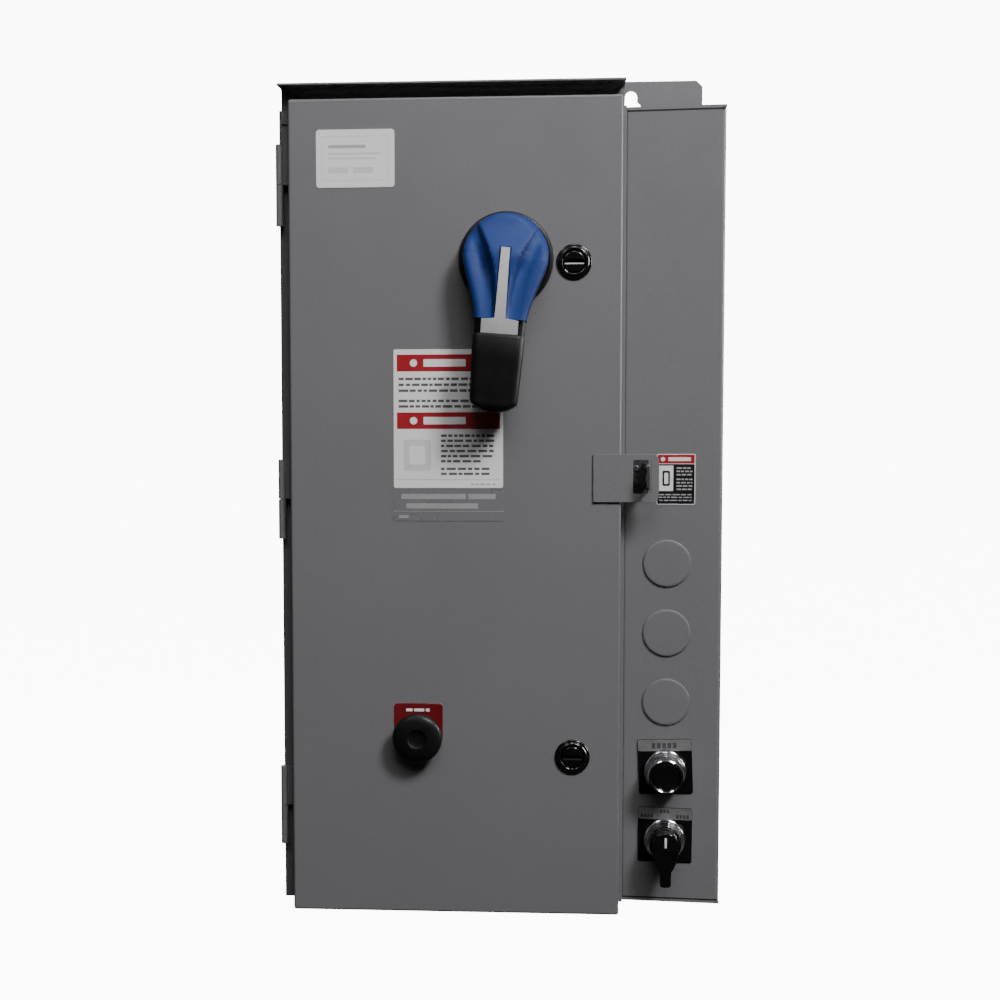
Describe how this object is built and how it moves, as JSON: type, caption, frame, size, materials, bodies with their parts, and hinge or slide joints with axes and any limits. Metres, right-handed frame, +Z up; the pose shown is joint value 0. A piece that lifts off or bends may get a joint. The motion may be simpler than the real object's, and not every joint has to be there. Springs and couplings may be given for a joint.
{
  "type": "enclosed combination motor starter",
  "caption": "Wall-mounted rainproof steel enclosure for a motor protection breaker and starter, with hinged door, rotary handle, reset knob and side pilot panel.",
  "frame": {"origin": "on the wall plane behind the middle of the box, where the back sheet lies on the wall", "axes": "+Z up, +X to the viewer's right when facing the door, +Y into the wall, so the door faces -Y"},
  "size_m": [0.3625, 0.231, 0.7583],
  "materials": {
    "grey_paint": "semi-gloss grey powder coat on steel",
    "zinc_steel": "zinc-plated steel",
    "black_steel": "black-oxide steel",
    "pan_white": "white baked enamel",
    "black_plastic": "moulded black plastic",
    "blue_plastic": "moulded blue plastic",
    "light_grey_plastic": "light grey moulded plastic",
    "gasket_foam": "closed-cell black foam",
    "chrome": "polished chrome plate",
    "white_label": "white film label",
    "red_label": "red film label with white border",
    "legend_black": "black legend plate with a grey head band",
    "copper_wire": "enamelled copper winding",
    "tinned_brass": "tinned brass terminals",
    "core_steel": "varnished laminated steel",
    "fuse_body": "fibre fuse tube with metal caps",
    "wire_black": "black wire insulation",
    "red_plastic": "red moulded plastic",
    "button_blue": "blue moulded plastic",
    "dial_white": "off-white moulded plastic",
    "armature_grey": "dark grey moulded plastic"
  },
  "bodies": {
    "enclosure": {"back_panel": "grey_paint", "left_side": "grey_paint", "pilot_side_panel": "grey_paint", "top_end": "grey_paint", "bottom_end": "grey_paint", "door_frame": "grey_paint", "drip_hood": "grey_paint", "hinge_box_leaves": "grey_paint", "hinge_pins": "zinc_steel", "padlock_staple": "black_steel", "staple_rivets": "black_steel", "side_label": "white_label", "hole_plugs": "grey_paint", "legend_plates": "legend_black", "panel_ring_nuts": "zinc_steel", "contact_blocks": "black_plastic", "pilot_bezels": "chrome", "equipment_pan": "pan_white", "pan_nuts": "zinc_steel", "breaker_case": "black_plastic", "breaker_lugs": "tinned_brass", "operator_frame": "zinc_steel", "contactor_base": "light_grey_plastic", "contactor_coil": "copper_wire", "contactor_cover": "black_plastic", "contactor_terminals": "tinned_brass", "overload_relay": "black_plastic", "transformer_core": "core_steel", "transformer_coil": "copper_wire", "fuse_block": "light_grey_plastic", "control_fuses": "fuse_body", "terminal_block": "black_plastic", "ground_bar": "tinned_brass", "power_leads": "wire_black"},
    "door": {"door_pan": "grey_paint", "door_gasket": "gasket_foam", "hinge_door_leaves": "grey_paint", "hasp_plate": "grey_paint", "nameplate": "white_label", "warning_label": "white_label", "reset_label": "red_label", "handle_base": "black_plastic", "latch_housings": "black_plastic", "reset_bushing": "black_plastic"},
    "handle": {"handle_hub": "blue_plastic", "handle_grip": "black_plastic", "shaft_socket": "zinc_steel"},
    "padlock_slide": {"padlock_slide": "light_grey_plastic"},
    "shaft": {"operator_shaft": "zinc_steel"},
    "yoke": {"operator_yoke": "zinc_steel"},
    "toggle": {"breaker_toggle": "black_plastic"},
    "trip": {"trip_button": "red_plastic"},
    "upper_latch": {"upper_latch": "black_plastic"},
    "lower_latch": {"lower_latch": "black_plastic"},
    "reset": {"reset_knob": "black_plastic"},
    "relay_reset": {"overload_reset": "button_blue"},
    "dial": {"overload_dial": "dial_white"},
    "start": {"start_button": "black_plastic"},
    "selector": {"selector_lever": "black_plastic"},
    "armature": {"contactor_armature": "armature_grey"}
  },
  "joints": [
    {"name": "door_hinge", "type": "hinge", "parent": "enclosure", "child": "door", "pos_m": [-0.1788, -0.173, 0], "axis": [0, 0, -1], "range_deg": [0, 160]},
    {"name": "handle_turn", "type": "hinge", "parent": "door", "child": "handle", "pos_m": [0.0048, -0.187, 0.2008], "axis": [0, 1, 0], "range_deg": [-4.5, 85.5]},
    {"name": "padlock_pull", "type": "slide", "parent": "handle", "child": "padlock_slide", "axis": [0, -1, 0], "range_m": [0, 0.008]},
    {"name": "shaft_turn", "type": "hinge", "parent": "enclosure", "child": "shaft", "pos_m": [0.0048, -0.13, 0.2008], "axis": [0, 1, 0], "range_deg": [-4.5, 85.5]},
    {"name": "yoke_slide", "type": "slide", "parent": "enclosure", "child": "yoke", "axis": [0, 0, 1], "range_m": [-0.00092, 0.0173]},
    {"name": "toggle_tilt", "type": "hinge", "parent": "enclosure", "child": "toggle", "pos_m": [0.0048, -0.075, 0.2008], "axis": [-1, 0, 0], "range_deg": [-1.81, 34.21]},
    {"name": "trip_press", "type": "slide", "parent": "enclosure", "child": "trip", "axis": [0, 1, 0], "range_m": [0, 0.0025], "stiffness_N_per_m": 400},
    {"name": "upper_latch_turn", "type": "hinge", "parent": "door", "child": "upper_latch", "pos_m": [0.0588, -0.187, 0.1985], "axis": [0, 1, 0], "range_deg": [0, 90]},
    {"name": "lower_latch_turn", "type": "hinge", "parent": "door", "child": "lower_latch", "pos_m": [0.0588, -0.187, -0.1985], "axis": [0, 1, 0], "range_deg": [0, 90]},
    {"name": "reset_press", "type": "slide", "parent": "door", "child": "reset", "axis": [0, 1, 0], "range_m": [0, 0.006], "stiffness_N_per_m": 500},
    {"name": "relay_reset_press", "type": "slide", "parent": "enclosure", "child": "relay_reset", "axis": [0, 1, 0], "range_m": [0, 0.006]},
    {"name": "dial_turn", "type": "hinge", "parent": "enclosure", "child": "dial", "pos_m": [-0.086, -0.1, -0.205], "axis": [0, 1, 0], "range_deg": [0, 270]},
    {"name": "start_press", "type": "slide", "parent": "enclosure", "child": "start", "axis": [0.0689, 0.9976, 0], "range_m": [0, 0.005], "stiffness_N_per_m": 600},
    {"name": "selector_turn", "type": "hinge", "parent": "enclosure", "child": "selector", "pos_m": [0.1362, -0.16193, -0.2718], "axis": [0.0689, 0.9976, 0], "range_deg": [-45, 45]},
    {"name": "armature_pull", "type": "slide", "parent": "enclosure", "child": "armature", "axis": [0, 1, 0], "range_m": [0, 0.005], "stiffness_N_per_m": 800}
  ],
  "couplings": [
    {"joint": "shaft_turn", "follows": "handle_turn", "ratio": 1},
    {"joint": "yoke_slide", "follows": "handle_turn", "m_per_rad": 0.011586},
    {"joint": "toggle_tilt", "follows": "handle_turn", "ratio": 0.4},
    {"joint": "relay_reset_press", "follows": "reset_press", "ratio": 1}
  ]
}
